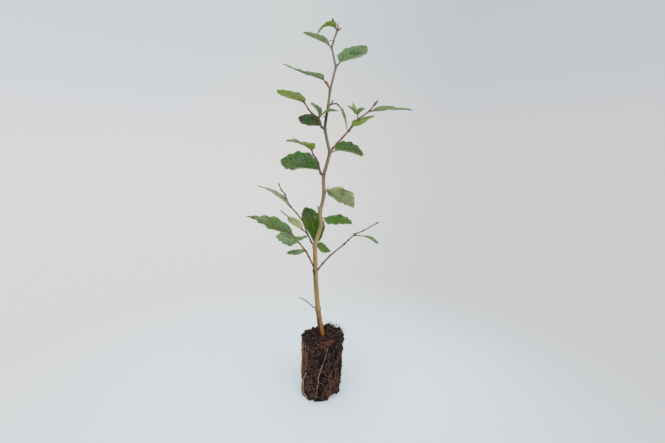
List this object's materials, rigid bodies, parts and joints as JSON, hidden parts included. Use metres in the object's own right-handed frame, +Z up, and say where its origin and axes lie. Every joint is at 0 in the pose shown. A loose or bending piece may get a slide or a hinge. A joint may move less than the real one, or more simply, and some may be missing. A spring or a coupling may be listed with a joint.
{
  "type": "beech seedling",
  "caption": "Young broadleaf tree on its own peat plug: a slender zigzag stem with thin side shoots and broad wavy leaves, for planting out, nursery and forestry scenes.",
  "frame": {"origin": "middle of the root plug's flat underside, on the surface that the plant stands on", "axes": "+Z up along the stem, +X to the viewer's right, -Y towards the viewer; the leaves stand in two ranks to the left and right"},
  "size_m": [0.1843, 0.0899, 0.4334],
  "materials": {
    "peat": "matte crumbly",
    "bark": "satin",
    "dead_twig": "matte",
    "twig": "satin",
    "leaf_deep": "satin",
    "leaf_blue": "satin",
    "leaf_bright": "satin",
    "leaf_pale": "matte"
  },
  "bodies": {
    "root": {"root_plug": "peat", "stem": "bark", "twig_01_dead": "dead_twig", "bough_02_left": "twig", "bough_02_right": "twig", "bough_03_left": "twig", "bough_08_right": "twig", "foliage_02_left": "leaf_deep", "foliage_02_right": "leaf_blue", "foliage_03_left": "leaf_pale", "foliage_03_back": "leaf_deep", "foliage_04_right": "leaf_deep", "foliage_06_right": "leaf_pale", "foliage_07_left": "leaf_deep", "foliage_08_right": "leaf_deep", "foliage_08_tip": "leaf_bright", "foliage_09_left": "leaf_deep", "foliage_10_right": "leaf_blue", "foliage_11_left": "leaf_blue", "foliage_12_right": "leaf_blue", "foliage_13_left": "leaf_blue", "foliage_14_top": "leaf_bright"}
  },
  "joints": []
}
